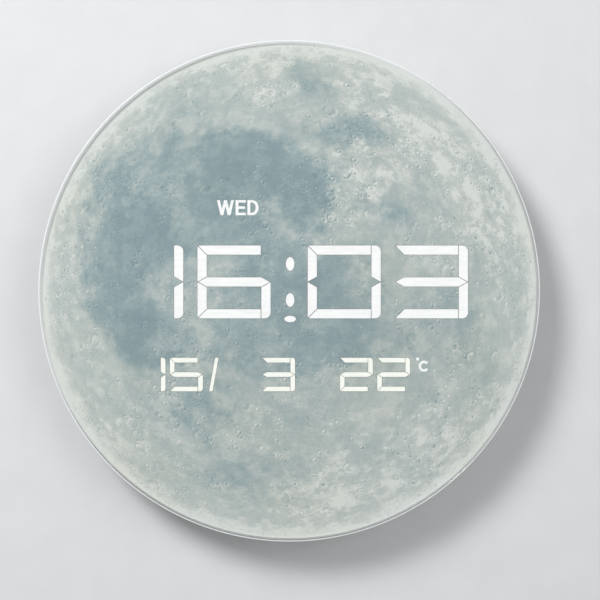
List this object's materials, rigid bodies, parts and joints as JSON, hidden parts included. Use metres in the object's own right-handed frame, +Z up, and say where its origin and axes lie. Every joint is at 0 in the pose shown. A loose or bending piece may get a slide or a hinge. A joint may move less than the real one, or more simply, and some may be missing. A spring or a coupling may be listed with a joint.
{
  "type": "digital wall clock",
  "caption": "Round frameless glass wall clock with a moon print, glowing segment digits for time, date and temperature, and a shallow housing with rear buttons and a keyhole hanger.",
  "frame": {"origin": "centre of the disc, on the wall plane that the rear cover rests on", "axes": "+X to the right seen from the front, +Z up, the face looks along -Y, the wall is at Y = 0"},
  "size_m": [0.3999, 0.038, 0.4],
  "materials": {
    "glass": "polished, bevelled edge",
    "print": "printed film",
    "tape": "foam tape",
    "housing": "fine moulded texture",
    "steel": "zinc plated",
    "reflector": "white moulding",
    "lit_guide": "opal, lit",
    "unlit_guide": "opal, unlit",
    "led": "LED package",
    "board": "solder mask",
    "chip": "moulded epoxy",
    "can": "drawn metal can",
    "capacitor": "shrunk sleeve",
    "sensor": "epoxy bead",
    "jack": "moulded",
    "contact": "plated spring brass",
    "header": "moulded",
    "red_lead": "wire sleeve",
    "black_lead": "wire sleeve",
    "switch": "moulded",
    "button": "soft moulded",
    "cell": "steel can"
  },
  "bodies": {
    "clock": {"glass_disc": "glass", "moon_print": "print", "bonding_tape": "tape", "housing_ring": "housing", "rear_cover": "housing", "cover_screws": "steel", "segment_frame": "reflector", "lit_time_segments": "lit_guide", "lit_colon": "lit_guide", "lit_date_segments": "lit_guide", "lit_temperature_segments": "lit_guide", "unlit_segments": "unlit_guide", "weekday_guides": "unlit_guide", "unit_guide": "unlit_guide", "time_leds": "led", "small_leds": "led", "legend_leds": "led", "display_board": "board", "board_screws": "steel", "frame_screws": "steel", "controller_chip": "chip", "driver_chips": "chip", "crystal": "can", "capacitors": "capacitor", "temperature_sensor": "sensor", "dc_jack": "jack", "jack_pin": "contact", "jack_nut": "steel", "power_header": "header", "jack_leads": "red_lead", "tact_switches": "switch", "coin_cell": "cell", "cell_contacts": "contact", "cell_header": "header", "cell_leads": "black_lead", "hanger_plate": "steel", "hanger_screws": "steel"},
    "set_key": {"set_button": "button", "set_plunger": "switch"},
    "up_key": {"up_button": "button", "up_plunger": "switch"},
    "down_key": {"down_button": "button", "down_plunger": "switch"},
    "cell_door": {"battery_door": "housing"}
  },
  "joints": [
    {"name": "set_press", "type": "slide", "parent": "clock", "child": "set_key", "axis": [0, -1, 0], "range_m": [0, 0.0005], "stiffness_N_per_m": 3000},
    {"name": "up_press", "type": "slide", "parent": "clock", "child": "up_key", "axis": [0, -1, 0], "range_m": [0, 0.0005], "stiffness_N_per_m": 3000},
    {"name": "down_press", "type": "slide", "parent": "clock", "child": "down_key", "axis": [0, -1, 0], "range_m": [0, 0.0005], "stiffness_N_per_m": 3000},
    {"name": "door_slide", "type": "slide", "parent": "clock", "child": "cell_door", "axis": [-1, 0, 0], "range_m": [0, 0.013]}
  ]
}
